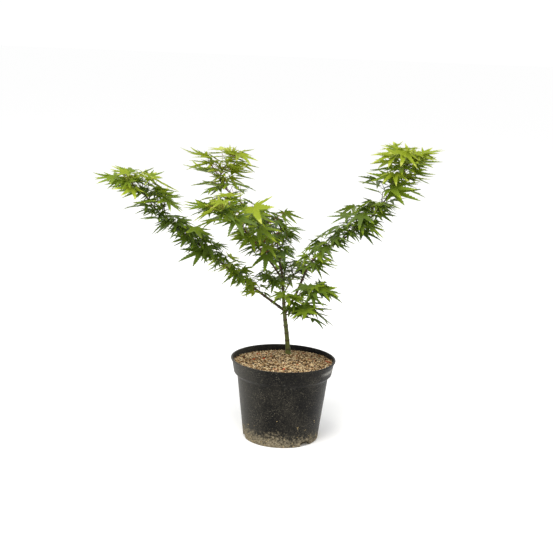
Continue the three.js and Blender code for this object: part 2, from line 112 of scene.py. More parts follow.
# Each mass: the limb it is on and the stretch of it that is its stem, or the place where a side
# branch of its own leaves it.
MASSES = table(
    "name on span gap reach leaf droop seed",
    ("left_inner", "left", (52, 190), 12, 14, 37, 40, 14),
    ("left_middle", "left", (190, 310), 12, 18, 40, 34, 12),
    ("left_tip", "left", (310, ALL), 22, 32, 45, 14, 98),
    ("right_inner", "right", (92, 200), 12, 14, 38, 34, 21),
    ("right_middle", "right", (200, 310), 12, 20, 41, 28, 72),
    ("right_tip", "right", (310, ALL), 20, 34, 48, 12, 23),
    ("top_inner", "leader", (34, 172), 12, 18, 41, 34, 31),
    ("top_tip", "leader", (172, ALL), 21, 32, 46, 14, 33),
    ("front_inner", "front", (60, 150), 15, 20, 44, 32, 41),
    ("front_tip", "front", (150, ALL), 18, 32, 54, 16, 43),
) + table(
    "name on at gap reach leaf droop seed strides",
    ("low_right", "trunk", 89, 14, 18, 40, 26, 62, ((24, -27, 22), (36, -33, -3))),
    ("side_right", "right", 39, 14, 22, 44, 16, 52, ((25, -27, 35), (27, -27, -4))),
    ("fork_front", "trunk", 113, 14, 14, 44, 24, 53, ((26, -77, 28), (18, -80, 12))),
    ("fork_left", "trunk", 143, 14, 16, 36, 30, 54, ((24, 215, 43), (26, 209, 34))),
    ("fork_back", "trunk", 135, 20, 22, 40, 22, 116, ((36, 62, 38), (40, 70, 24))),
    ("back", "leader", 24, 20, 24, 42, 32, 61, ((45, 100, 45), (50, 115, 40), (30, 110, 25))),
)

STEM = Named(step=22, limb_clear=4, branch_clear=9)
SHOOT = Named(angle=60, turn=40, lift=0.3, rise=0.12, length=(0.55, 0.7), apart=1.7, sample=8)
CROWN = Named(turns=(0, -58, 58), rise=0.2, reach=0.6)
LEAF = Named(
    lobes=((-84, 0.64), (-40, 0.92), (0, 1), (40, 0.92), (84, 0.64)),
    shoulder=(140, 0.07), sag=0.16, stalk=0.42, stalk_rise=(0.86, 0.5),
)
SCATTER = Named(size=(0.8, 0.4), droop=20, roll=36, turn=16)
TRIES = [(turn, share) for share in (1, 0.78, 0.6) for turn in (0, 30, -30, 60, -60)]
SPRAY = ((0.97, 0), (0.8, -62), (0.62, 62))
SPACE, LEAF_SPACE, STEM_SPACE, LIMB_SPACE, SPACING = 1.2, 0.17, 4.2, 2.4, 6

# ---- Small helpers ----


def seeded(seed):
    """The source's repeatable random numbers."""
    whole = 0xFFFFFFFF
    state = seed

    def draw():
        nonlocal state
        state = (state + 0x6D2B79F5) & whole
        t = ((state ^ (state >> 15)) * (state | 1)) & whole
        t ^= (t + (((t ^ (t >> 7)) * (t | 61)) & whole)) & whole
        return ((t ^ (t >> 14)) & whole) / 4294967296

    return draw


def about_zero(span, random):
    return span * (random() - 0.5)


def at_least(least, more, random):
    return least + more * random()


def lerp(a, b, t):
    return a + (b - a) * t


def unit(v):
    return v / np.linalg.norm(v)


def cross(a, b):
    """As np.cross for two single vectors, and far quicker."""
    (ax, ay, az), (bx, by, bz) = a.tolist(), b.tolist()
    return np.array([ay * bz - az * by, az * bx - ax * bz, ax * by - ay * bx])


def turned(v, axis, degrees):
    a = math.radians(degrees)
    return v * math.cos(a) + cross(axis, v) * math.sin(a) + axis * (axis @ v) * (1 - math.cos(a))


def direction(heading, climb):
    h, c = math.radians(heading), math.radians(climb)
    return np.array([math.cos(c) * math.cos(h), math.cos(c) * math.sin(h), math.sin(c)])


def flat(v):
    return unit(np.array([v[0], v[1], 0.0]))


def bow_between(start, middle, end, t):
    """Points at the shares t of a curve from start to end that leans towards the middle."""
    t = t[:, None]
    return start * (1 - t) ** 2 + middle * 2 * t * (1 - t) + end * t**2


class Curve:
    """A smooth curve through points, with places given by share of its length."""

    def __init__(self, points):
        p = self.points = np.array(points, float)
        self.ring = np.vstack([2 * p[0] - p[1], p, 2 * p[-1] - p[-2]])
        self.steps = np.linspace(0, 1, 201)
        places = self.raw(self.steps)
        spans = np.linalg.norm(np.diff(places, axis=0), axis=1)
        self.sums = np.concatenate([[0], np.cumsum(spans)])
        self.length = self.sums[-1]

    def raw(self, t):
        t = np.atleast_1d(t)
        n = len(self.points)
        s = np.clip(t, 0, 1) * (n - 1)
        i = np.minimum(s.astype(int), n - 2)
        w = (s - i)[:, None]
        p0, p1, p2, p3 = (self.ring[i + k] for k in range(4))
        d0, d1, d2 = (
            np.linalg.norm(b - a, axis=1)[:, None] ** 0.5 for a, b in ((p0, p1), (p1, p2), (p2, p3))
        )
        t1 = ((p1 - p0) / d0 - (p2 - p0) / (d0 + d1) + (p2 - p1) / d1) * d1
        t2 = ((p2 - p1) / d1 - (p3 - p1) / (d1 + d2) + (p3 - p2) / d2) * d1
        return p1 + w * (t1 + w * ((3 * (p2 - p1) - 2 * t1 - t2) + w * (2 * (p1 - p2) + t1 + t2)))

    def at(self, u):
        out = self.raw(np.interp(np.atleast_1d(u) * self.length, self.sums, self.steps))
        return out if np.ndim(u) else out[0]

    def ahead(self, u):
        t = float(np.interp(u * self.length, self.sums, self.steps))
        a, b = self.raw(np.array([max(t - 1e-4, 0), min(t + 1e-4, 1)]))
        return unit(b - a)

    def spaced(self, count):
        return self.at(np.linspace(0, 1, count + 1))


def walk(limb):
    """The curve of a limb or branch from its strides."""
    if "start" in limb:
        places = [np.array(limb.start, float)]
    else:
        on = curves[limb.on]
        places = [on.at(1.0 if limb.at == "tip" else limb.at / on.length)]
    for length, heading, climb in limb.strides:
        places.append(places[-1] + direction(heading, climb) * length)
    return Curve(places)


curves = {}
for limb_name, limb in LIMBS.items():
    curves[limb_name] = walk(limb)


def limb_radius(name, share):
    base, tip = LIMBS[name].radii
    if name != "trunk":
        return lerp(base, tip, share ** TAPER["bough"])
    flare = FLARE.swell * math.exp(-share * FLARE.fade)
    return lerp(base, tip, share ** TAPER["trunk"]) + flare


def stretch(name, start, end):
    curve = curves[name]
    a, b = start / curve.length, min(end / curve.length, 1)
    count = max(4, math.floor((b - a) * curve.length / STEM.step + 0.5))
    part = Curve(curve.at(lerp(a, b, np.arange(count + 1) / count)))
    return part, (lambda u: limb_radius(name, lerp(a, b, u))), b == 1


# ---- The rule that grows the masses ----

for mass in MASSES:
    if "strides" in mass:
        mass.stem = walk(mass)
        mass.is_tip, mass.start = True, STEM.branch_clear
    else:
        first, last = mass.span
        mass.stem, _, mass.is_tip = stretch(mass.on, first + GAP, last)
        mass.start = STEM.limb_clear
    mass.spine = mass.stem.spaced(math.ceil(mass.stem.length / SPACING))
    mass.taken, mass.leaves, mass.twigs = np.empty((0, 3)), [], []

bare_places, bare_radii = [], []
for limb_name, limb in LIMBS.items():
    part, radius_at, _ = stretch(limb_name, 0, limb.get("bare", ALL))
    count = math.ceil(part.length / SPACING)
    bare_places.append(part.spaced(count))
    bare_radii += [radius_at(i / count) for i in range(count + 1)]
bare_places = np.vstack(bare_places)
bare_radii = np.array(bare_radii)


def nearest(places, points):
    """How far each point is from the nearest of the places."""
    apart = (points**2).sum(1)[:, None] + (places**2).sum(1) - 2 * points @ places.T
    return np.sqrt(np.maximum(apart.min(1), 0))


PROUD = 4  # how far past the model's own reach a leaf may end sideways, and short of it on top
LOWEST = np.array(CAD_BOX[0]) / MM - PROUD
HIGHEST = np.array(CAD_BOX[1]) / MM + (PROUD, PROUD, -PROUD)


def in_space(mass, points, space):
    """True where the points lie within the plant's reach, nearer this mass's stem than another's
    by the given space, and clear of bare limbs."""
    if (points < LOWEST).any() or (points > HIGHEST).any() or points[:, 2].max() > mass.ceiling:
        return False
    own = nearest(mass.spine, points)
    if (nearest(mass.others, points) < own + space).any():
        return False
    apart = np.linalg.norm(points[:, None] - bare_places[None], axis=2)
    return bool((apart > bare_radii + LIMB_SPACE).all())


for mass in MASSES:
    mass.others = np.vstack([m.spine for m in MASSES if m is not mass])


def leaf_points(leaf, places):
    """Points of a leaf, each given by its heading in degrees and its reach."""
    across = cross(leaf.face, leaf.heading)
    a = np.radians([p[0] for p in places])[:, None]
    reach = np.array([p[1] for p in places])[:, None]
    flat_part = leaf.heading * np.cos(a) * reach + across * np.sin(a) * reach
    return leaf.hub + leaf.size * (flat_part - leaf.face * LEAF.sag * reach)


def leaf_fits(mass, leaf, layer):
    """True where the leaf is clear of its mass's other leaves and stem, and lies in its space."""
    lobes = leaf_points(leaf, LEAF.lobes)
    turn, reach = LEAF.shoulder
    shoulders = leaf_points(leaf, ((turn, reach), (-turn, reach)))
    hub = leaf.hub
    samples = [hub, lerp(hub, leaf.root, 0.5)]
    for share in (0.3, 0.65, 1):
        samples += list(lerp(hub, lobes, share))
    samples = leaf.samples = np.array(samples)
    if len(mass.taken) and (
        nearest(mass.taken, samples) <= layer.spacing * leaf.size
    ).any():
        return False
    if (nearest(mass.spine, samples) <= STEM_SPACE).any():
        return False
    return in_space(mass, np.vstack([samples, shoulders]), layer.space)


def grow_leaf(mass, root, heading, random, layer):
    """A leaf that fits, on a stalk from the root, or None where none of the tries does."""
    size = mass.leaf * layer.size[mass.far]
    full = size * at_least(*SCATTER.size, random)
    droop = mass.droop * layer.droop[mass.far]
    droop = math.radians(droop + about_zero(SCATTER.droop * layer.loose, random))
    roll = about_zero(SCATTER.roll * layer.loose, random)
    stalk = LEAF.stalk * full * at_least(*SCATTER.size, random)
    start = about_zero(SCATTER.turn, random)
    forwards, up = LEAF.stalk_rise
    way_up = UP * up
    for turn, share in TRIES:
        level = turned(flat(heading), UP, start + turn)
        along = level * math.cos(droop) - UP * math.sin(droop)
        face = turned(level * math.sin(droop) + UP * math.cos(droop), along, roll)
        hub = root + unit(level * forwards + way_up) * stalk * share
        leaf = Named(root=root, hub=hub, heading=along, face=face, size=full * share)
        if leaf_fits(mass, leaf, layer):
            mass.taken = np.vstack([mass.taken, leaf.samples])
            return leaf
    return None


def grow_shoot(mass, u, heading, length, random, layer):
    """A shoot with a spray of leaves. Where a leaf has no room, the others sit on the stem."""
    stem = mass.stem
    root = stem.at(u)
    tip = root + heading * length + UP * SHOOT.rise * length
    if not in_space(mass, tip[None], layer.space):
        return
    leaves = []
    for share, turn in SPRAY:
        level = turned(flat(heading), UP, turn)
        leaves.append(grow_leaf(mass, lerp(root, tip, share), level, random, layer))
    leaves = [leaf for leaf in leaves if leaf]
    if not leaves:
        return
    if len(leaves) < len(SPRAY):
        for i, leaf in enumerate(leaves):
            leaf.root = stem.at(min(u + i * SHOOT.apart / stem.length, 0.99))
    else:
        parts = math.ceil(length / SHOOT.sample)
        shares = (np.arange(parts)[:, None] + 1) / parts
        mass.taken = np.vstack([mass.taken, lerp(root, tip, shares)])
        mass.twigs.append((root, tip))
    for leaf in leaves:
        leaf.along = u
        leaf.mass = mass
    mass.leaves += leaves


def grow_mass(mass, layer):
    """One layer of a mass: pairs of shoots along its stem, and a crown of them at its tip."""
    stem = mass.stem
    random = seeded(mass.seed + layer.seed)
    start = mass.start + layer.start[not mass.full] * stem.length
    gap = layer.gap[mass.far] if layer.gap else mass.gap
    nodes = max(1, math.floor((stem.length - start) / gap + 0.5))
    for i in range(nodes):
        place = start + (i + 0.3 + 0.3 * random()) * (stem.length - start) / nodes
        for side in (-1, 1):
            u = (place + side * SHOOT.apart) / stem.length
            ahead = stem.ahead(u)
            out = cross(ahead, UP)
            out = turned(unit(out) if out @ out > 1e-6 else RIGHT, ahead,
                         (1 if i % 2 else -1) * SHOOT.turn)
            lean = math.radians(SHOOT.angle)
            heading = unit(
                ahead * math.cos(lean)
                + out * side * math.sin(lean)
                + UP * (SHOOT.lift * random() + layer.lift[mass.far])
            )
            reach = mass.reach * at_least(*SHOOT.length, random)
            grow_shoot(mass, u, heading, reach, random, layer)
    if mass.is_tip:
        for i, turn in enumerate(CROWN.turns):
            ahead = stem.ahead(1)
            ahead = turned(unit(np.array([ahead[0], ahead[1], CROWN.rise])), UP, turn)
            u = 1 - (i + 1) * SHOOT.apart / stem.length
            grow_shoot(mass, u, ahead, CROWN.reach * mass.reach, random, layer)


BUDS = Named(count=6, seed=700, climb=52, scatter=30, size=0.42, stalk=7, youth_and_light=1.3)


def grow_buds(mass):
    """The newest leaves, small and still half folded, on the tip of a bough."""
    random = seeded(mass.seed + BUDS.seed)
    tip = mass.stem.at(1)
    ahead = mass.stem.ahead(1)
    for i in range(BUDS.count):
        level = turned(flat(ahead), UP, (i + 0.5 * random()) * 360 / BUDS.count)
        climb = math.radians(BUDS.climb + about_zero(BUDS.scatter, random))
        along = level * math.cos(climb) + UP * math.sin(climb)
        face = unit(UP * math.cos(climb) - level * math.sin(climb))
        size = mass.leaf * BUDS.size * at_least(*SCATTER.size, random)
        hub = tip + along * BUDS.stalk
        if (hub + along * size)[2] < HIGHEST[2]:
            mass.leaves.append(Named(root=tip, hub=hub, heading=along, face=face, size=size,
                                     along=1, mass=mass, youth_and_light=BUDS.youth_and_light))


# The first layer has the source's gaps and spacing, with looser leaves. The others fill in between
# them by the same rule, and may stand nearer each other and reach into the next mass. Of a pair of
# values the second is for the mass at a bough's tip, but left_tip too has the first start.
LAYERS = table(
    "seed gap size spacing space lift droop start loose",
    (0, None, (1, 1.04), LEAF_SPACE, SPACE, (0.15, 0.05), (0.85, 0.85), (0, 0), 1.8),
    (100, (13.5, 20), (1.03, 1.12), 0.13, -12, (0.5, 0.1), (0.7, 0.6), (0, 0.25), 2),
    (200, (20, 60), (0.95, 1), 0.11, -14, (0.3, 0.05), (0.8, 0.9), (0, 0.45), 2.2),
    (300, (18, 21), (1, 1.08), 0.1, -14, (0.6, 0), (0.5, 0.3), (0.3, 0.6), 2),
)
# The limb shows in these masses, which have only the first layers.
OPEN_MASSES, OPEN_LAYERS = ("left_inner", "right_inner", "front_inner", "top_inner"), 2
SWELL = dict(low_right=1.2, side_right=1.25, fork_front=1.3)  # larger leaves near the fork
# How far a leaf may rise above the tip of its mass's stem.
CEILING, CEILING_ELSEWHERE = dict(top_tip=12, left_tip=28), 30
for mass in MASSES:
    mass.far = mass.is_tip and "strides" not in mass
    mass.full = not mass.far or mass.name == "left_tip"
    mass.ceiling = mass.stem.at(1)[2] + CEILING.get(mass.name, CEILING_ELSEWHERE)
    mass.leaf *= SWELL.get(mass.name, 1)
    mass.reach *= SWELL.get(mass.name, 1)
for number, layer in enumerate(LAYERS):
    for mass in MASSES:
        if number < OPEN_LAYERS or mass.name not in OPEN_MASSES:
            grow_mass(mass, layer)
for mass in MASSES:
    if mass.far:
        grow_buds(mass)

# ---- Meshes ----


def placed(name, data):
    """An object of the data, in the scene."""
    obj = bpy.data.objects.new(name, data)
    bpy.context.collection.objects.link(obj)
    return obj


def solid(name, verts, faces, scale=MM):
    mesh = bpy.data.meshes.new(name)
    mesh.from_pydata((np.asarray(verts) * scale).tolist(), [], faces)
    return placed(name, mesh)


def finish_mesh(mesh, material, smooth=True):
    mesh.materials.clear()
    mesh.materials.append(material)
    if smooth:
        mesh.polygons.foreach_set("use_smooth", [True] * len(mesh.polygons))
    mesh.update()


def make_object(name, verts, faces, material, smooth=True):
    """A mesh object on the body, from millimetres."""
    obj = solid(name, verts, faces)
    finish_mesh(obj.data, material, smooth)
    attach(obj, "root")
    return obj


class Soup:
    """Vertices and faces of many small pieces that become one mesh."""

    def __init__(self):
        self.verts, self.faces, self.count = [], [], 0

    def add(self, verts, faces):
        self.verts.append(np.asarray(verts, float))
        self.faces += [tuple(i + self.count for i in f) for f in faces]
        self.count += len(verts)

    def make(self, name, material, smooth=True):
        return make_object(name, np.vstack(self.verts), self.faces, material, smooth)


def frames_along(points):
    """Two directions across the path at each point, without twist."""
    ahead = np.gradient(points, axis=0)
    ahead /= np.linalg.norm(ahead, axis=1)[:, None]
    side = np.cross(ahead[0], UP if abs(ahead[0][2]) < 0.9 else RIGHT)
    sides = []
    for a in ahead:
        side = unit(side - a * (side @ a))
        sides.append(side)
    sides = np.array(sides)
    return sides, np.cross(ahead, sides)


def hoop(radius, z, around):
    """Points round the pot's axis, from the viewer's side towards +X."""
    turns = np.arange(around) * 2 * math.pi / around
    return [(radius * math.sin(a), -radius * math.cos(a), z) for a in turns]


def bands(rings, around):
    """The faces between each ring of points and the next."""
    return [
        (k * around + j, k * around + m, (k + 1) * around + m, (k + 1) * around + j)
        for k in range(rings - 1)
        for j, m in zip(range(around), (*range(1, around), 0))
    ]


def tube(points, radii, sides):
    """A closed tube. radii is one number for each point, or one for each point and side."""
    points = np.asarray(points, float)
    radii = np.asarray(radii, float)
    if radii.ndim == 1:
        radii = np.repeat(radii[:, None], sides, axis=1)
    across, over = frames_along(points)
    a = np.arange(sides) * 2 * math.pi / sides
    ring = across[:, None] * np.cos(a)[None, :, None] + over[:, None] * np.sin(a)[None, :, None]
    verts = (points[:, None] + ring * radii[:, :, None]).reshape(-1, 3)
    end = len(verts)
    ends = [tuple(range(sides - 1, -1, -1)), tuple(range(end - sides, end))]
    return verts, bands(len(points), sides) + ends


# ---- Materials ----


def linear(red, green, blue):
    """A display colour of 0 to 255 as the linear values that shaders take."""
    return tuple(
        c / 12.92 if c <= 0.04045 else ((c + 0.055) / 1.055) ** 2.4
        for c in (red / 255, green / 255, blue / 255)
    )


def new_material(name, roughness, color=(0.5, 0.5, 0.5), specular=0.5):
    material = bpy.data.materials.new(name)
    material.use_nodes = True
    shader = material.node_tree.nodes["Principled BSDF"]
    shader.inputs["Base Color"].default_value = (*color, 1)
    shader.inputs["Roughness"].default_value = roughness
    shader.inputs["Specular IOR Level"].default_value = specular
    return material


class Graph:
    """A material, with nodes that are added and linked."""

    def __init__(self, name, roughness, specular):
        self.material = new_material(name, roughness, specular=specular)
        tree = self.material.node_tree
        self.nodes, self.links = tree.nodes, tree.links
        self.place = self.nodes.new("ShaderNodeTexCoord").outputs["Object"]

    def surface(self, name, value):
        self.put(self.nodes["Principled BSDF"].inputs[name], value)

    def add(self, kind, inputs, **settings):
        node = self.nodes.new(kind)
        for key, value in settings.items():
            setattr(node, key, value)
        for key, value in inputs.items():
            self.put(node.inputs[key], value)
        return node

    def put(self, socket, value):
        if isinstance(value, bpy.types.NodeSocket):
            self.links.new(value, socket)
        else:
            socket.default_value = value

    def noise(self, scale, detail=4, roughness=0.55, place=None):
        inputs = {"Vector": place or self.place, "Scale": scale, "Detail": detail}
        inputs["Roughness"] = roughness
        return self.add("ShaderNodeTexNoise", inputs).outputs["Fac"]

    def ramp(self, value, *stops):
        node = self.add("ShaderNodeValToRGB", {"Fac": value})
        marks = node.color_ramp.elements
        while len(marks) < len(stops):
            marks.new(0.5)
        for mark, (place, color) in zip(marks, stops):
            mark.position = place
            mark.color = (*color, 1) if isinstance(color, tuple) else (color, color, color, 1)
        return node.outputs["Color"]

    def math(self, operation, a, b):
        return self.add("ShaderNodeMath", {0: a, 1: b}, operation=operation).outputs[0]

    def times(self, a, b):
        return self.math("MULTIPLY", a, b)

    def plus(self, a, b):
        return self.math("ADD", a, b)

    def mix(self, share, a, b):
        a, b = ((*c, 1) if isinstance(c, tuple) else c for c in (a, b))
        return self.add("ShaderNodeMix", {0: share, 6: a, 7: b}, data_type="RGBA").outputs[2]

    def bump(self, height, strength, distance):
        inputs = {"Height": height, "Strength": strength, "Distance": distance}
        return self.add("ShaderNodeBump", inputs).outputs["Normal"]

    def scaled(self, x, y, z):
        inputs = {"Vector": self.place, "Scale": (x, y, z)}
        return self.add("ShaderNodeMapping", inputs).outputs["Vector"]

    def along(self, axis):
        return self.add("ShaderNodeSeparateXYZ", {"Vector": self.place}).outputs[axis]


# ---- Leaves ----

# The heading and reach of each lobe and of the notch between two, and the teeth on a lobe's side.
LOBES = ((-122, 0.34), (-84, 0.64), (-40, 0.92), (0, 1.0), (40, 0.92), (84, 0.64), (122, 0.34))
SINUSES = (
    (-152, 0.07), (-103, 0.18), (-62, 0.26), (-20, 0.31),
    (20, 0.31), (62, 0.26), (103, 0.18), (152, 0.07),
)
TEETH = (2, 3, 5, 6, 5, 3, 2)
WIDEST = 0.1  # half the width of a lobe at its foot, as a share of its length
# How wide a tooth and a notch are, how far ahead, and how fast a lobe widens from the web.
TOOTH, NOTCH, TOOTH_AHEAD, NOTCH_AHEAD, WIDENING = 1.13, 0.86, 0.02, -0.012, 2.4


def leaf_template():
    """The blade of a leaf as a fan of toothed lobes, its middle lobe 1 long on +X. Each vertex has
    x, y, offset from the midrib, reach, lobe or -1, and how far out it is on the lobe."""
    verts, faces, webs = [(0.0, 0.0, 0.0, 0.0, -1, 0.0)], [], []

    def put(x, y, offset, lobe, free):
        verts.append((x, y, offset, math.hypot(x, y), lobe, free))
        return len(verts) - 1

    for degrees, reach in SINUSES:
        a = math.radians(degrees)
        lateral = math.sin(math.radians(min(abs(degrees - d) for d, _ in LOBES)))
        webs.append([
            put(math.cos(a) * reach * s, math.sin(a) * reach * s, reach * s * lateral, -1, 0.0)
            for s in (0.5, 1.0)
        ])
    for i, ((degrees, length), teeth) in enumerate(zip(LOBES, TEETH)):
        a = math.radians(degrees)
        ahead, left = (math.cos(a), math.sin(a)), (-math.sin(a), math.cos(a))
        turns = [(math.radians(degrees - d), reach) for d, reach in SINUSES[i:i + 2]]
        base = 0.5 * sum(reach * math.cos(turn) for turn, reach in turns)
        start = [reach * abs(math.sin(turn)) for turn, reach in turns]
        rib = [put(ahead[0] * base * s, ahead[1] * base * s, 0.0, -1, 0.0) for s in (0.5, 1.0)]
        sides = [list(webs[i]), list(webs[i + 1])]
        for k in range(1, 2 * teeth + 1):
            t = k / (2 * teeth)
            along = base + (length - base) * t
            rib.append(put(ahead[0] * along, ahead[1] * along, 0.0, i, t))
            if k == 2 * teeth:
                break
            full = length * WIDEST * (1 + 0.9 * t) * (1 - t) ** 0.95
            widen, shift = (TOOTH, TOOTH_AHEAD) if k % 2 else (NOTCH, NOTCH_AHEAD)
            forward = along + shift * length
            for side, sign in ((0, -1), (1, 1)):
                wide = lerp(start[side], full, min(1, t * WIDENING)) * widen
                x, y = (ahead[n] * forward + left[n] * wide * sign for n in (0, 1))
                sides[side].append(put(x, y, wide, i, t))
        for side, edge in enumerate(sides):
            strip = [(0, edge[0], rib[0])]
            for k in range(len(edge) - 1):
                strip.append((rib[k], edge[k], edge[k + 1], rib[k + 1]))
            strip.append((rib[len(edge) - 1], edge[-1], rib[len(edge)]))
            faces += [tuple(reversed(f)) for f in strip] if side else strip
    return np.array(verts), faces


TEMPLATE, BLADE = leaf_template()
YOUNG_TIP = 0.45  # the share of a young lobe, from its end, that is paler than the rest


def part_of(faces):
    """The template's vertices that the faces use, and the faces in their numbers."""
    used = sorted({i for face in faces for i in face})
    number = {old: new for new, old in enumerate(used)}
    return np.array(used), [tuple(number[i] for i in face) for face in faces]


FREE = TEMPLATE[:, 5]
WHOLE_BLADE = part_of(BLADE)
BLADE_HEART = part_of([f for f in BLADE if min(FREE[i] for i in f) < 1 - YOUNG_TIP])
BLADE_TIPS = part_of([f for f in BLADE if min(FREE[i] for i in f) >= 1 - YOUNG_TIP])
OLD_SAG, YOUNG_SAG = (0.1, 0.8), (-1.5, 0.0)  # the least and most, as shares of LEAF.sag
YOUNG = 0.66  # the youth from which a leaf's lobes curve up
SHORTEN, HANG, HANG_MIDDLE = 0.12, 0.16, 0.55  # how much the lobes differ in length and hang
FOLD = 0.35  # the least fold along a rib, and how much more it may be
BLADE_SCALE = 1.17  # a leaf's outline stands this much proud of the points that kept it clear


def blade_points(leaf, random):
    """The template bent to one leaf: folded along each rib, and hanging at the tips. A young
    leaf's lobes curve up instead."""
    x, y, offset, reach, lobe, free = TEMPLATE.T
    lobe = lobe.astype(int)
    short = np.array([SHORTEN * random() for _ in LOBES] + [0.0])[lobe]
    hang = np.array([HANG * (random() - HANG_MIDDLE) for _ in LOBES] + [0.0])[lobe]
    shrink = 1 - short * free
    fold = at_least(FOLD, FOLD, random)
    least, most = YOUNG_SAG if leaf.youth_and_light > YOUNG else OLD_SAG
    sag = LEAF.sag * lerp(least, most, random())
    lift = fold * offset - sag * (reach * shrink) ** 2 - hang * free**2
    across = cross(leaf.face, leaf.heading)
    flat_part = (x * shrink)[:, None] * leaf.heading + (y * shrink)[:, None] * across
    return leaf.hub + BLADE_SCALE * leaf.size * (flat_part + lift[:, None] * leaf.face)


# The regions that the leaves are joined by, and how young and how lit the leaves of each mass are
# at
# its foot and at its tip: the value stands for their age and also holds painted light and shade,
# set mass by mass to how lit or shaded the leaves there look. It also scatters from leaf to leaf,
# and grows with the height above the stem.
REGIONS = {
    "left": dict(left_inner=(0.7, 0.66), left_middle=(0.42, 0.46), left_tip=(0.4, 0.74)),
    "right": dict(right_inner=(0.5, 0.54), right_middle=(0.42, 0.5), right_tip=(0.42, 0.82)),
    "top": dict(top_inner=(0.32, 0.48), top_tip=(0.46, 0.92), back=(0.32, 0.5)),
    "front": dict(front_inner=(0.5, 0.6), front_tip=(0.5, 0.7)),
    "fork": dict(low_right=(0.46, 0.52), side_right=(0.4, 0.46), fork_front=(0.52, 0.58),
                 fork_left=(0.46, 0.5), fork_back=(0.44, 0.52)),
}
YOUTH_AND_LIGHT_SCATTER, YOUTH_AND_LIGHT_RISE, YOUTH_AND_LIGHT_LESS = 0.3, 0.008, 0.06
# Each shade: the highest value of age and painted light that its leaves have, its colour, and its
# gloss, which young leaves lack. The dark and deep colours are partly painted shade, for leaves
# inside the foliage.
SHADES = (
    ("dark", 0.20, linear(46, 62, 18), 0.5),
    ("deep", 0.42, linear(62, 82, 24), 0.45),
    ("green", 0.62, linear(84, 104, 30), 0.35),
    ("bright", 0.84, linear(108, 128, 34), 0.15),
    ("lime", 1.2, linear(138, 153, 42), 0.1),
    ("pale", 9.0, linear(176, 184, 84), 0.1),
)
PALER = {"green": "bright", "bright": "lime", "lime": "pale"}
LEAF_ROUGHNESS, THROUGH, THROUGH_BRIGHTER = 0.42, 0.3, 1.25


def leaf_material(name, color, gloss):
    """A thin leaf, which lets some light through."""
    material = new_material(name, LEAF_ROUGHNESS, color, gloss)
    nodes, links = material.node_tree.nodes, material.node_tree.links
    through = nodes.new("ShaderNodeBsdfTranslucent")
    through.inputs["Color"].default_value = (*(min(1, c * THROUGH_BRIGHTER) for c in color), 1)
    both = nodes.new("ShaderNodeMixShader")
    both.inputs[0].default_value = THROUGH
    links.new(nodes["Principled BSDF"].outputs[0], both.inputs[1])
    links.new(through.outputs[0], both.inputs[2])
    links.new(both.outputs[0], nodes["Material Output"].inputs["Surface"])
    return material


leaf_materials = {
    shade: leaf_material(f"leaf_{shade}", color, gloss) for shade, _, color, gloss in SHADES
}
chance = seeded(900)
by_name = {mass.name: mass for mass in MASSES}
for region, members in REGIONS.items():
    soups = {shade: Soup() for shade, *_ in SHADES}
    used = {shade: set() for shade, *_ in SHADES}
    for name, (foot, tip) in members.items():
        mass = by_name[name]
        for leaf in mass.leaves:
            above = (leaf.hub - mass.stem.at(leaf.along))[2]
            # The leaf's shade comes from its age and also from painted light and shade.
            youth_and_light = lerp(foot, tip, leaf.along) + about_zero(YOUTH_AND_LIGHT_SCATTER, chance)
            youth_and_light += YOUTH_AND_LIGHT_RISE * above
            youth_and_light -= YOUTH_AND_LIGHT_LESS
            leaf.youth_and_light = youth_and_light = max(youth_and_light, leaf.get("youth_and_light", 0))
            shade = next(s for s, top, *_ in SHADES if youth_and_light < top)
            points = blade_points(leaf, chance)
            if shade in PALER and chance() < youth_and_light:
                parts = ((shade, BLADE_HEART), (PALER[shade], BLADE_TIPS))
            else:
                parts = ((shade, WHOLE_BLADE),)
            for kind, (numbers, faces) in parts:
                soups[kind].add(points[numbers], faces)
                used[kind].add(name + "_foliage")
    for shade, *_ in SHADES:
        if soups[shade].count:
            piece = soups[shade].make(f"{region}_leaves_{shade}", leaf_materials[shade])
            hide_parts(*sorted(used[shade]))

# ---- Leaf stalks and shoots ----

STALK = Named(radius=0.42, foot=0.75, fade=9, sides=5, steps=6, bow=0.5, bow_level=0.7, bow_up=0.75)
TWIG = Named(radius=1.15, taper=0.45, bow=0.05, sides=6)
stalk_green = new_material("stalk_green", 0.5, linear(92, 98, 34), 0.25)
stalk_red = new_material("stalk_red", 0.5, linear(124, 58, 34), 0.25)
shoot_material = new_material("shoot_bark", 0.55, linear(68, 54, 28), 0.25)
for region, names in REGIONS.items():
    stalks, shoots = Soup(), Soup()
    nodes = [name + "_foliage" for name in names]
    for mass in (by_name[name] for name in names):
        for leaf in mass.leaves:
            root, hub = leaf.root, leaf.hub
            span = np.linalg.norm(hub - root)
            rise = flat(hub - root) * STALK.bow_level + UP * STALK.bow_up
            bend = root + STALK.bow * span * unit(rise)
            t = np.linspace(0, 1, STALK.steps + 1)
            foot = (STALK.foot - STALK.radius) * np.exp(-t * STALK.fade)
            path, radii = bow_between(root, bend, hub, t), STALK.radius + foot
            stalks.add(*tube(path, radii, STALK.sides))
        for root, tip in mass.twigs:
            t = np.linspace(0, 1, 5)[:, None]
            bow = UP * TWIG.bow * np.linalg.norm(tip - root)
            path = lerp(root, tip, t) - bow * np.sin(math.pi * t)
            shoots.add(*tube(path, TWIG.radius - TWIG.taper * t[:, 0], TWIG.sides))
    red = region in ("top", "front")
    piece = stalks.make(f"{region}_leaf_stalks", stalk_red if red else stalk_green)
    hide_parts(*nodes)
    if shoots.count:
        piece = shoots.make(f"{region}_shoots", shoot_material)
        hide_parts(*nodes)

# ---- Trunk and boughs ----


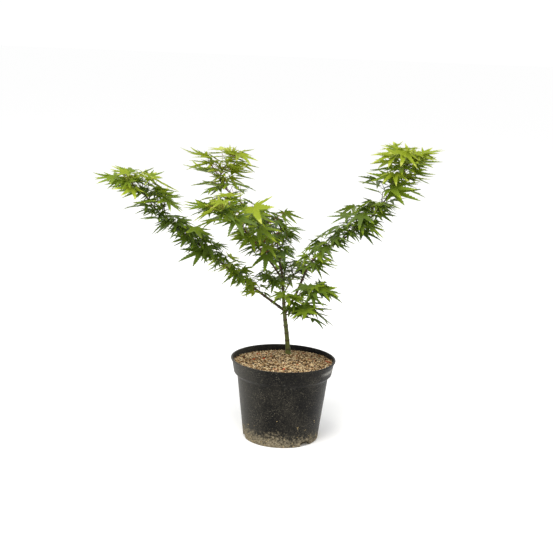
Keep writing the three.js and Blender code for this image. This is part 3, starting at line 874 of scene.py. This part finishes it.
def bark_material(name, low, high, ring):
    """Young bark: two colours in streaks, and a third at the marks of its rings."""
    g = Graph(name, 0.5, 0.3)
    streaks = g.noise(220, 5, 0.6, g.scaled(1, 1, 0.16))
    patches = g.noise(46, 3)
    both = g.plus(g.times(streaks, 0.6), g.times(patches, 0.4))
    color = g.ramp(both, (0.36, low), (0.64, high))
    mark = g.add("ShaderNodeAttribute", {}, attribute_name="mark").outputs["Fac"]
    color = g.mix(mark, color, ring)
    g.surface("Base Color", color)
    g.surface("Roughness", g.ramp(patches, (0.3, 0.42), (0.7, 0.62)))
    grain = g.noise(900, 6, 0.65, g.scaled(1, 1, 0.3))
    g.surface("Normal", g.bump(grain, 0.5, 0.0006))
    return g.material


trunk_bark = bark_material(
    "trunk_bark", linear(60, 66, 22), linear(102, 108, 50), linear(60, 46, 26)
)
bough_bark = bark_material(
    "bough_bark", linear(42, 32, 20), linear(78, 66, 34), linear(42, 24, 18)
)
# A ring on the bark, with a colour mark on it and a groove after it. Pairs of numbers, here and
# below, are the least and how much more, and first and pitch are shares of the limb's own pitch.
RING = Named(
    first=(0.5, 0.3), pitch=(0.8, 0.4), proud=0.55, wide=1.7, mark_wide=1.5,
    groove=0.14, groove_at=3.2, groove_wide=2.4, on_radius=5,
)
RIDGES = Named(three=0.07, five=0.05, twist=0.05, height=0.6)
SKIN_STEP = 1.4


def limb_skin(name, limb, pitch, sides, material, start, seed):
    """The bark of a limb as a tube with low ridges along it and a raised ring about every pitch,
    and where the rings are."""
    curve = curves[limb]
    random = seeded(seed)
    steps = int(curve.length * (1 - start) / SKIN_STEP)
    shares = np.linspace(start, 1, steps + 1)
    points = curve.at(shares)
    along = shares * curve.length
    rings = []
    place = start * curve.length + pitch * at_least(*RING.first, random)
    while place < curve.length - 4:
        rings.append(place)
        place += pitch * at_least(*RING.pitch, random)
    base = np.array([limb_radius(limb, s) for s in shares])
    swell, mark = np.zeros(steps + 1), np.zeros(steps + 1)
    for place in rings:
        near = np.abs(along - place)
        after = along - place - RING.groove_at
        swell += np.exp(-((near / RING.wide) ** 2)) * RING.proud
        swell -= np.exp(-((after / RING.groove_wide) ** 2)) * RING.groove
        mark += np.exp(-((near / RING.mark_wide) ** 2))
    a = np.arange(sides) * 2 * math.pi / sides
    phase = 6.28 * random()
    twist = along[:, None] * RIDGES.twist
    ridges = RIDGES.three * np.sin(3 * a + phase)[None] + RIDGES.five * np.sin(5 * a + twist)
    base = base[:, None]
    radii = base * (1 + ridges * RIDGES.height)
    radii = radii + swell[:, None] * (base / RING.on_radius) ** 0.5
    verts, faces = tube(points, radii, sides)
    piece = make_object(name, verts, faces, material)
    layer = piece.data.attributes.new("mark", "FLOAT", "POINT")
    layer.data.foreach_set("value", np.repeat(np.clip(mark, 0, 1), sides))
    return piece, rings


trunk_start = (MULCH.crown - 2 - TRUNK_START[2]) / curves["trunk"].length
skins = (
    ("trunk_skin", "trunk", 17, 28, trunk_bark, trunk_start, ("trunk",), "trunk_bark"),
    ("leader_skin", "leader", 24, 16, bough_bark, 0, ("leader",), "bough_bark"),
    ("left_bough_skin", "left", 21, 16, bough_bark, 0, ("left_bough",), "bough_bark"),
    ("right_bough_skin", "right", 23, 16, bough_bark, 0, ("right_bough",), "bough_bark"),
    ("front_bough_skin", "front", 22, 14, bough_bark, 0, ("front_bough",), "bough_bark"),
)
# A bud or leaf scar at a ring, with its radii at shares of its length.
BARK_BUD = Named(
    size=(0.9, 0.9), depth=0.7, past=1.2, lean=0.9, long=2.4, at=(0, 0.45, 0.8, 1.0),
    radii=(0.8, 0.75, 0.45, 0.08),
)
buds = Soup()
chance = seeded(77)
for number, (name, limb, pitch, sides, material, start, nodes, slot) in enumerate(skins):
    piece, rings = limb_skin(name, limb, pitch, sides, material, start, 30 + number)
    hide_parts(*nodes)
    curve = curves[limb]
    for place in rings:  # a pair of small buds or leaf scars at each ring
        u = place / curve.length
        ahead, turn = curve.ahead(u), 360 * chance()
        side = unit(np.cross(ahead, UP + 0.1))
        for half in (0, 180):
            out = turned(side, ahead, turn + half)
            radius = limb_radius(limb, u)
            size = at_least(*BARK_BUD.size, chance)
            root = curve.at(u) + out * radius * BARK_BUD.depth + ahead * BARK_BUD.past
            shares, lean = np.array(BARK_BUD.at)[:, None], unit(out + ahead * BARK_BUD.lean)
            path = root + shares * lean * size * BARK_BUD.long
            buds.add(*tube(path, np.array(BARK_BUD.radii) * size, 6))
bud_material = new_material("bud_scales", 0.5, linear(122, 58, 44))
piece = buds.make("buds", bud_material)

BRANCH = Named(radius=1.35, taper=0.6, ring=0.3, ring_wide=1.6, pitch=19, step=2.5, sides=8)
branches = Soup()
branch_nodes = []
for mass in MASSES:
    if "strides" in mass:
        steps = int(mass.stem.length / BRANCH.step)
        shares = np.linspace(0, 1, steps + 1)
        from_ring = (shares * mass.stem.length + 4) % BRANCH.pitch - BRANCH.pitch / 2
        ring = BRANCH.ring * np.exp(-(from_ring / BRANCH.ring_wide) ** 2)
        radii = BRANCH.radius - BRANCH.taper * shares + ring
        branches.add(*tube(mass.stem.at(shares), radii, BRANCH.sides))
        branch_nodes.append(mass.name + "_foliage")
piece = branches.make("side_branches", shoot_material)
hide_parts(*branch_nodes)

# ---- Pot ----

AROUND = 160
BAND_BOTTOM = POT.height - POT.band
WALL_HEAD = BAND_BOTTOM - POT.step


def wall_radius(z):
    return lerp(POT.foot, POT.wall_top, z / WALL_HEAD)


def lathe(profile):
    """A closed ring of the profile's points, which start and end on the axis."""
    verts, faces = [(0, 0, profile[0][1])], []
    inner = profile[1:-1]
    for radius, z in inner:
        verts += hoop(radius, z, AROUND)
    verts.append((0, 0, profile[-1][1]))
    last = len(verts) - 1
    for j in range(AROUND):
        m = (j + 1) % AROUND
        faces.append((0, 1 + m, 1 + j))
        for k in range(len(inner) - 1):
            low, high = 1 + k * AROUND, 1 + (k + 1) * AROUND
            faces.append((low + j, low + m, high + m, high + j))
        top = 1 + (len(inner) - 1) * AROUND
        faces.append((top + j, top + m, last))
    return verts, faces


def smooth_profile(corners):
    """corners holds (radius, height, rounding). The first and last lie on the axis."""
    out = [corners[0][:2]]
    for before, corner, after in zip(corners, corners[1:], corners[2:]):
        b, c, a = (np.array(p[:2], float) for p in (before, corner, after))
        if corner[2]:
            start, end = c + unit(b - c) * corner[2], c + unit(a - c) * corner[2]
            out += bow_between(start, c, end, np.linspace(0, 1, 5)).tolist()
        else:
            out.append(corner[:2])
    out.append(corners[-1][:2])
    return out


def pot_profile():
    wall, top = POT.wall, POT.height
    lip = top - POT.lip
    return smooth_profile([
        (0, 0, 0),
        (POT.foot - POT.edge, 0, 0.01),
        (wall_radius(POT.edge), POT.edge, 1.2),
        *((wall_radius(z), z, 0) for z in np.linspace(12, WALL_HEAD - 6, 12)),
        (POT.wall_top, WALL_HEAD, 2.2),
        (POT.band_foot, BAND_BOTTOM, 1.6),
        (POT.band_top - 0.6, lip - 3, 0),
        (POT.band_top, lip, 0.9),
        (POT.rim, lip + 0.2, 0.8),
        (POT.rim, top, 1.2),
        (POT.band_top - wall, top, 0.8),
        (POT.band_foot - wall, BAND_BOTTOM, 2),
        (POT.wall_top - wall, WALL_HEAD, 2),
        (wall_radius(POT.floor) - wall, POT.floor, 1.2),
        (0, POT.floor, 0),
    ])


ARCH = Named(corner=4.0, spread=1.06, below=4, beyond=14)


def arch(grow, heading):
    """A block with a rounded roof over a drainage recess, grown on all sides but the outer one.
    The heading turns from the viewer's side."""
    half, high, corner = DRAIN.width / 2 + grow, DRAIN.height + grow, ARCH.corner
    near, far = POT.foot - DRAIN.depth - grow, POT.foot + ARCH.beyond
    outline = [(side * half * ARCH.spread, -ARCH.below) for side in (-1, 1)]
    for cx, first in ((half - corner, 0), (-half + corner, 90)):
        for a in (0, 22, 45, 68, 90):
            a = math.radians(first + a)
            outline.append((cx + corner * math.cos(a), high - corner + corner * math.sin(a)))
    n = len(outline)
    c, s = math.cos(math.radians(heading)), math.sin(math.radians(heading))
    verts = [(x * c + y * s, x * s - y * c, z) for y in (near, far) for x, z in outline]
    faces = [tuple(range(n)), tuple(range(2 * n - 1, n - 1, -1))]
    faces += [(j, n + j, n + (j + 1) % n, (j + 1) % n) for j in range(n)]
    block = solid("block", verts, faces)
    outwards = bmesh.new()
    outwards.from_mesh(block.data)
    bmesh.ops.recalc_face_normals(outwards, faces=outwards.faces)
    outwards.to_mesh(block.data)
    outwards.free()
    return block


def apply_boolean(target, other, operation):
    cut = target.modifiers.new("cut", "BOOLEAN")
    cut.operation, cut.solver, cut.object = operation, "EXACT", other
    graph = bpy.context.evaluated_depsgraph_get()
    done = bpy.data.meshes.new_from_object(target.evaluated_get(graph))
    target.modifiers.clear()
    old = target.data
    target.data = done
    bpy.data.meshes.remove(old)
    bpy.data.objects.remove(other)


pot = solid("nursery_pot", *lathe(pot_profile()))
# The linings of the recesses end inside the pot's wall and floor: from 2 to 30 mm up.
inside = [(0, 2.0), (wall_radius(2) - 1, 2.0), (wall_radius(30) - 1, 30.0), (0, 30.0)]
for heading in DRAIN.headings:
    lining = arch(POT.wall, heading)
    apply_boolean(lining, solid("inside", *lathe(inside)), "INTERSECT")
    apply_boolean(pot, lining, "UNION")
for heading in DRAIN.headings:
    apply_boolean(pot, arch(0, heading), "DIFFERENCE")


# Metres to the rim, and up to the ends of the soil's and the scuffs' ramps.
RIM_REACH, SOIL_REACH, SCUFF_REACH = 0.11, 0.034, 0.18


def pot_material():
    """Black moulded plastic, dulled by dust, with dried soil low down and scuffs on the band. A
    painted sheen lightens its left side, and the rubbed patch at the band's right end is also a
    painted highlight.
    """
    g = Graph("pot_plastic", 0.5, 0.11)
    z = g.along("Z")
    fine, broad = g.noise(700, 6, 0.7), g.noise(16, 5, 0.6)
    streak = g.noise(30, 5, 0.65, g.scaled(1, 1, 0.22))
    plastic = g.ramp(fine, (0.35, linear(2, 2, 2)), (0.75, linear(11, 10, 8)))
    dust = g.ramp(g.times(broad, g.noise(260, 5, 0.75)), (0.22, 0.0), (0.38, 0.65))
    color = g.mix(dust, plastic, linear(52, 49, 42))
    # Painted sheen: the pot's left side made lighter, where the light falls on it.
    painted_sheen_left = g.ramp(g.times(g.along("X"), -1 / RIM_REACH), (0.3, 0.0), (0.85, 0.45))
    color = g.mix(g.times(painted_sheen_left, fine), color, linear(104, 101, 92))
    specks = g.ramp(g.noise(560, 3, 0.8), (0.58, 0.0), (0.65, 0.9))
    specks = g.times(specks, g.ramp(g.noise(45, 4, 0.7), (0.4, 0.25), (0.62, 1.0)))
    color = g.mix(specks, color, linear(120, 114, 98))
    # Dried soil: heaviest at the foot, and fading upwards with a ragged edge.
    edge = g.times(z, 1 / SOIL_REACH)
    edge = g.plus(edge, g.times(g.math("SUBTRACT", broad, 0.5), 1.9))
    edge = g.plus(edge, g.times(g.math("SUBTRACT", g.noise(160, 6, 0.7), 0.5), 3.2))
    soil_share = g.ramp(edge, (0.15, 0.85), (0.95, 0.0))
    soil = g.ramp(g.noise(300, 6, 0.75), (0.36, linear(46, 40, 30)), (0.62, linear(164, 152, 126)))
    color = g.mix(soil_share, color, soil)
    # Pale scuffs: thin ones on the band, and at its right end a rubbed patch which is also a
    # painted highlight.
    level = g.times(z, 1 / SCUFF_REACH)
    band = g.ramp(level, (0.74, 0.0), (0.8, 0.9), (0.97, 0.55), (0.985, 1.0))
    scuffs = g.ramp(g.times(streak, g.noise(110, 6, 0.75)), (0.32, 0.0), (0.44, 0.7))
    color = g.mix(g.times(scuffs, band), color, linear(120, 120, 114))
    # A rubbed patch that is also a painted highlight, on the band's right edge.
    right_end = g.ramp(g.times(g.along("X"), 1 / RIM_REACH), (0.72, 0.0), (0.86, 1.0))
    rubbed_and_highlight = g.times(g.ramp(level, (0.86, 0.0), (0.89, 1.0), (0.92, 0.0)), right_end)
    rubbed_and_highlight = g.times(rubbed_and_highlight, g.ramp(fine, (0.4, 0.0), (0.6, 1.0)))
    color = g.mix(rubbed_and_highlight, color, linear(176, 174, 166))
    g.surface("Base Color", color)
    rough = g.ramp(g.plus(g.times(broad, 0.5), soil_share), (0.2, 0.38), (0.9, 0.85))
    g.surface("Roughness", rough)
    relief = g.plus(fine, g.times(g.times(g.noise(300, 6, 0.7), soil_share), 3))
    g.surface("Normal", g.bump(relief, 0.35, 0.0005))
    return g.material


finish_mesh(pot.data, pot_material())
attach(pot, "root")
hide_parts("pot")

# ---- Mulch ----

TX, TY = TRUNK_START[:2]
# The bed's edge is higher in front and at the right, with a slow wave. It falls from below the
# crown as a dome, is uneven, lies under the chips, and is closed by two rings inside the pot.
BED = Named(front=4.8, right=1.2, wave=0.8, sink=0.6, dome=1.6, uneven=1.6, under=0.8, inset=2.5)


def mulch_edge(a):
    """Height of the mulch where it meets the wall. a is the heading from the viewer's side."""
    tilt = BED.front * math.cos(a)
    return MULCH.edge + tilt + BED.right * math.sin(a) + BED.wave * math.sin(3 * a + 1)


def mulch_edge_radius(z):
    share = (z - BAND_BOTTOM) / (POT.band - POT.lip)
    return lerp(POT.band_foot, POT.band_top, share) - POT.wall - 0.5


def mulch_place(share, a):
    """A place on the mulch, at a share of the way from the trunk to the wall."""
    low = mulch_edge(a)
    radius = mulch_edge_radius(low)
    x, y = lerp(TX, radius * math.sin(a), share), lerp(TY, -radius * math.cos(a), share)
    rise = MULCH.crown - BED.sink - low
    return np.array([x, y, low + rise * (1 - share ** BED.dome)])


mulch_verts = []
RINGS, SPOKES = 30, 96
chance = seeded(5)
for k in range(RINGS + 1):
    for j in range(SPOKES):
        a = j * 2 * math.pi / SPOKES
        place = mulch_place(max(k / RINGS, 0.02), a)
        place[2] += about_zero(BED.uneven if 0 < k < RINGS else 0, chance) - BED.under
        mulch_verts.append(place)
mulch_verts += hoop(POT.band_foot - BED.inset, BAND_BOTTOM, SPOKES)
mulch_verts += hoop(POT.wall_top - BED.inset, WALL_HEAD + 1.2, SPOKES)
mulch_faces = [(a, d, c, b) for a, b, c, d in bands(RINGS + 3, SPOKES)]
mulch_end = len(mulch_verts)
mulch_faces.append(tuple(range(SPOKES)))
mulch_faces.append(tuple(range(mulch_end - 1, mulch_end - SPOKES - 1, -1)))


def mulch_material():
    g = Graph("bark_mulch", 0.95, 0.2)
    grain = g.noise(420, 6, 0.7)
    dark, mid, light = linear(28, 21, 15), linear(70, 54, 37), linear(128, 106, 77)
    color = g.ramp(grain, (0.32, dark), (0.5, mid), (0.7, light))
    g.surface("Base Color", color)
    g.surface("Normal", g.bump(grain, 0.8, 0.002))
    return g.material


ground = make_object("mulch_bed", mulch_verts, mulch_faces, mulch_material())
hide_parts("bark_mulch")

# Each kind of chip: its share of them all, added to the shares before it, and its colour.
CHIP_KINDS = (
    ("pale", 0.24, linear(212, 190, 150)), ("tan", 0.48, linear(166, 138, 98)),
    ("brown", 0.74, linear(104, 76, 46)), ("dark", 0.94, linear(44, 31, 20)),
    ("grey", 0.985, linear(136, 126, 110)), ("red", 9, linear(166, 68, 36)),
)
# Half sizes, and the spans of the tilt, the roll and the height above the bed.
CHIPS, CHIP_LONG, CHIP_WIDE, CHIP_DEEP = 9500, (1.3, 3.2), (0.5, 0.8), (0.3, 0.5)
CHIP_UNEVEN, CHIP_TILT, CHIP_ROLL, CHIP_RISE = 0.45, 0.9, 1.6, 1.6
# Larger pieces that lie on top: how far out, heading in degrees, half length, kind.
SINGLE_CHIPS = (
    (0.8, -13, 3.4, "red"), (0.82, -1, 3.6, "red"), (0.6, 22, 2.6, "red"), (0.5, -62, 2.4, "red"),
    (0.55, 62, 8, "tan"), (0.93, -84, 8, "tan"), (0.9, -98, 7, "pale"), (0.9, 88, 6, "red"),
)
SINGLE_WIDE, SINGLE_DEEP, SINGLE_RISE, TRUNK_CLEAR = 1.5, 0.9, 1.2, 7.5
CUBE = np.array([[x, y, z] for x in (-1, 1) for y in (-1, 1) for z in (-1, 1)], float)
CUBE_FACES = ((0, 1, 3, 2), (4, 6, 7, 5), (0, 4, 5, 1), (2, 3, 7, 6), (0, 2, 6, 4), (1, 5, 7, 3))
chips = {kind: Soup() for kind, _, _ in CHIP_KINDS}
chance = seeded(61)
for number in range(CHIPS + len(SINGLE_CHIPS)):
    share, a = math.sqrt(chance()) * 0.985, 2 * math.pi * chance()
    single = SINGLE_CHIPS[number - CHIPS] if number >= CHIPS else None
    if single:
        share, a = single[0], math.radians(single[1])
    place = mulch_place(share, a)
    if np.hypot(place[0] - TX, place[1] - TY) < TRUNK_CLEAR:
        continue
    long = CHIP_LONG[0] + CHIP_LONG[1] * chance() ** 2
    wide, deep = at_least(*CHIP_WIDE, chance), at_least(*CHIP_DEEP, chance)
    if single:
        long, wide, deep = single[2], SINGLE_WIDE, SINGLE_DEEP
    uneven = np.array([[chance() - 0.5 for _ in range(3)] for _ in range(8)])
    shape = CUBE * np.array([long, wide, deep]) * (1 + CHIP_UNEVEN * uneven)
    shape[:4] *= np.array([1, at_least(0.55, 0.4, chance), 0.7])
    spin = 2 * math.pi * chance()
    tilt, roll = about_zero(CHIP_TILT, chance), about_zero(CHIP_ROLL, chance)
    level = math.cos(tilt)
    ax = np.array([math.cos(spin) * level, math.sin(spin) * level, math.sin(tilt)])
    ay = unit(np.cross(UP, ax)) * math.cos(roll) + UP * math.sin(roll)
    ay = unit(ay - ax * (ay @ ax))
    place[2] += (chance() - 0.35) * CHIP_RISE
    if single:
        place[2] += SINGLE_RISE
    out, limit = np.hypot(place[0], place[1]), mulch_edge_radius(place[2])
    if out + long > limit:
        place[:2] *= (limit - long) / out
    share = chance()
    kind = single[3] if single else next(k for k, top, _ in CHIP_KINDS if share < top)
    verts = place + shape @ np.array([ax, ay, np.cross(ax, ay)])
    chips[kind].add(verts, CUBE_FACES)
for kind, _, color in CHIP_KINDS:
    material = new_material(f"chips_{kind}", 0.9, color, 0.2)
    piece = chips[kind].make(f"mulch_chips_{kind}", material, smooth=False)
    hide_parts("bark_mulch")

# ---- Straw flecks on the pot ----

# How many, and their half sizes. None lies over a recess.
FLECKS, FLECK_LONG, FLECK_WIDE, FLECK_DEEP = 150, (0.5, 1.5), (0.16, 0.3), 0.15
LOWEST_FLECK, FLECK_REACH, RECESS_HALF, RECESS_TOP = 3, 60, 12, 14
flecks = Soup()
chance = seeded(311)
for _ in range(FLECKS):
    z = LOWEST_FLECK + FLECK_REACH * chance() ** 2.6
    a = 2 * math.pi * chance()
    out = np.array([math.sin(a), -math.cos(a), 0.0])
    round_way = np.array([math.cos(a), math.sin(a), 0.0])
    spin = math.pi * chance()
    along = round_way * math.cos(spin) + UP * math.sin(spin)
    wide = np.cross(out, along)
    size = at_least(*FLECK_LONG, chance), at_least(*FLECK_WIDE, chance), FLECK_DEEP
    near = min(abs((math.degrees(a) - h + 180) % 360 - 180) for h in DRAIN.headings)
    if near < RECESS_HALF and z < RECESS_TOP:
        continue
    place = out * (wall_radius(z) + 0.02) + UP * z
    verts = place + CUBE * np.array(size) @ np.array([along, wide, out])
    flecks.add(verts, CUBE_FACES)
fleck_material = new_material("straw_flecks", 0.85, linear(196, 172, 120), 0.2)
piece = flecks.make("straw_flecks", fleck_material, smooth=False)

# ---- The soil under the mulch, which the recesses show from below ----


def soil_material():
    g = Graph("potting_mix", 0.95, 0.2)
    color = g.ramp(g.noise(300, 6, 0.7), (0.3, linear(36, 27, 20)), (0.7, linear(84, 66, 48)))
    g.surface("Base Color", color)
    g.surface("Normal", g.bump(g.noise(400, 6, 0.7), 0.8, 0.001))
    return g.material


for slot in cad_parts["potting_mix"].material_slots:
    slot.material = soil_material()

# ---- Floor, light and camera ----

FLOOR = 80  # metres from the middle to each edge, so that its far edge lies at the horizon
FLOOR_WHITE, WORLD_WHITE = 0.97, 1.02
corners = [(-1, -1, 0), (1, -1, 0), (1, 1, 0), (-1, 1, 0)]
floor = solid("floor", corners, [(0, 1, 2, 3)], FLOOR)
floor_material = new_material("floor", 1, [FLOOR_WHITE] * 3, 0)
floor.data.materials.append(floor_material)

world = bpy.data.worlds.new("world")
bpy.context.scene.world = world
world.use_nodes = True
background = world.node_tree.nodes["Background"]
background.inputs["Color"].default_value = (1, 1, 1, 1)
background.inputs["Strength"].default_value = WORLD_WHITE

LIGHT, LIT = Vector((-0.5, -1.3, 3.0)), Vector((0, 0, 0.35))
LIGHT_SIZE, LIGHT_POWER = 1.6, 85
light_data = bpy.data.lights.new("key", "AREA")
light_data.shape, light_data.size = "DISK", LIGHT_SIZE
light_data.energy, light_data.color = LIGHT_POWER, (1.0, 0.98, 0.94)
light = placed("key", light_data)
light.location = LIGHT
light.rotation_euler = (LIT - LIGHT).to_track_quat("-Z", "Y").to_euler()

CAMERA = Named(place=(-0.0215, -2.3, 0.837), pitch=11.85, roll=2.25, lens=72, sensor=36)
camera_data = bpy.data.cameras.new("camera")
camera_data.lens, camera_data.sensor_width = CAMERA.lens, CAMERA.sensor
camera = placed("camera", camera_data)
camera.location = CAMERA.place
camera.rotation_mode = "XYZ"
p, r = math.radians(CAMERA.pitch), math.radians(CAMERA.roll)
ahead = np.array([0, math.cos(p), -math.sin(p)])
upright = np.array([0, math.sin(p), math.cos(p)])
right = math.cos(r) * RIGHT + math.sin(r) * upright
top = -math.sin(r) * RIGHT + math.cos(r) * upright
camera.rotation_euler = Matrix(np.column_stack([right, top, -ahead]).tolist()).to_euler()
bpy.context.scene.camera = camera
bpy.context.scene.view_settings.view_transform = "Standard"
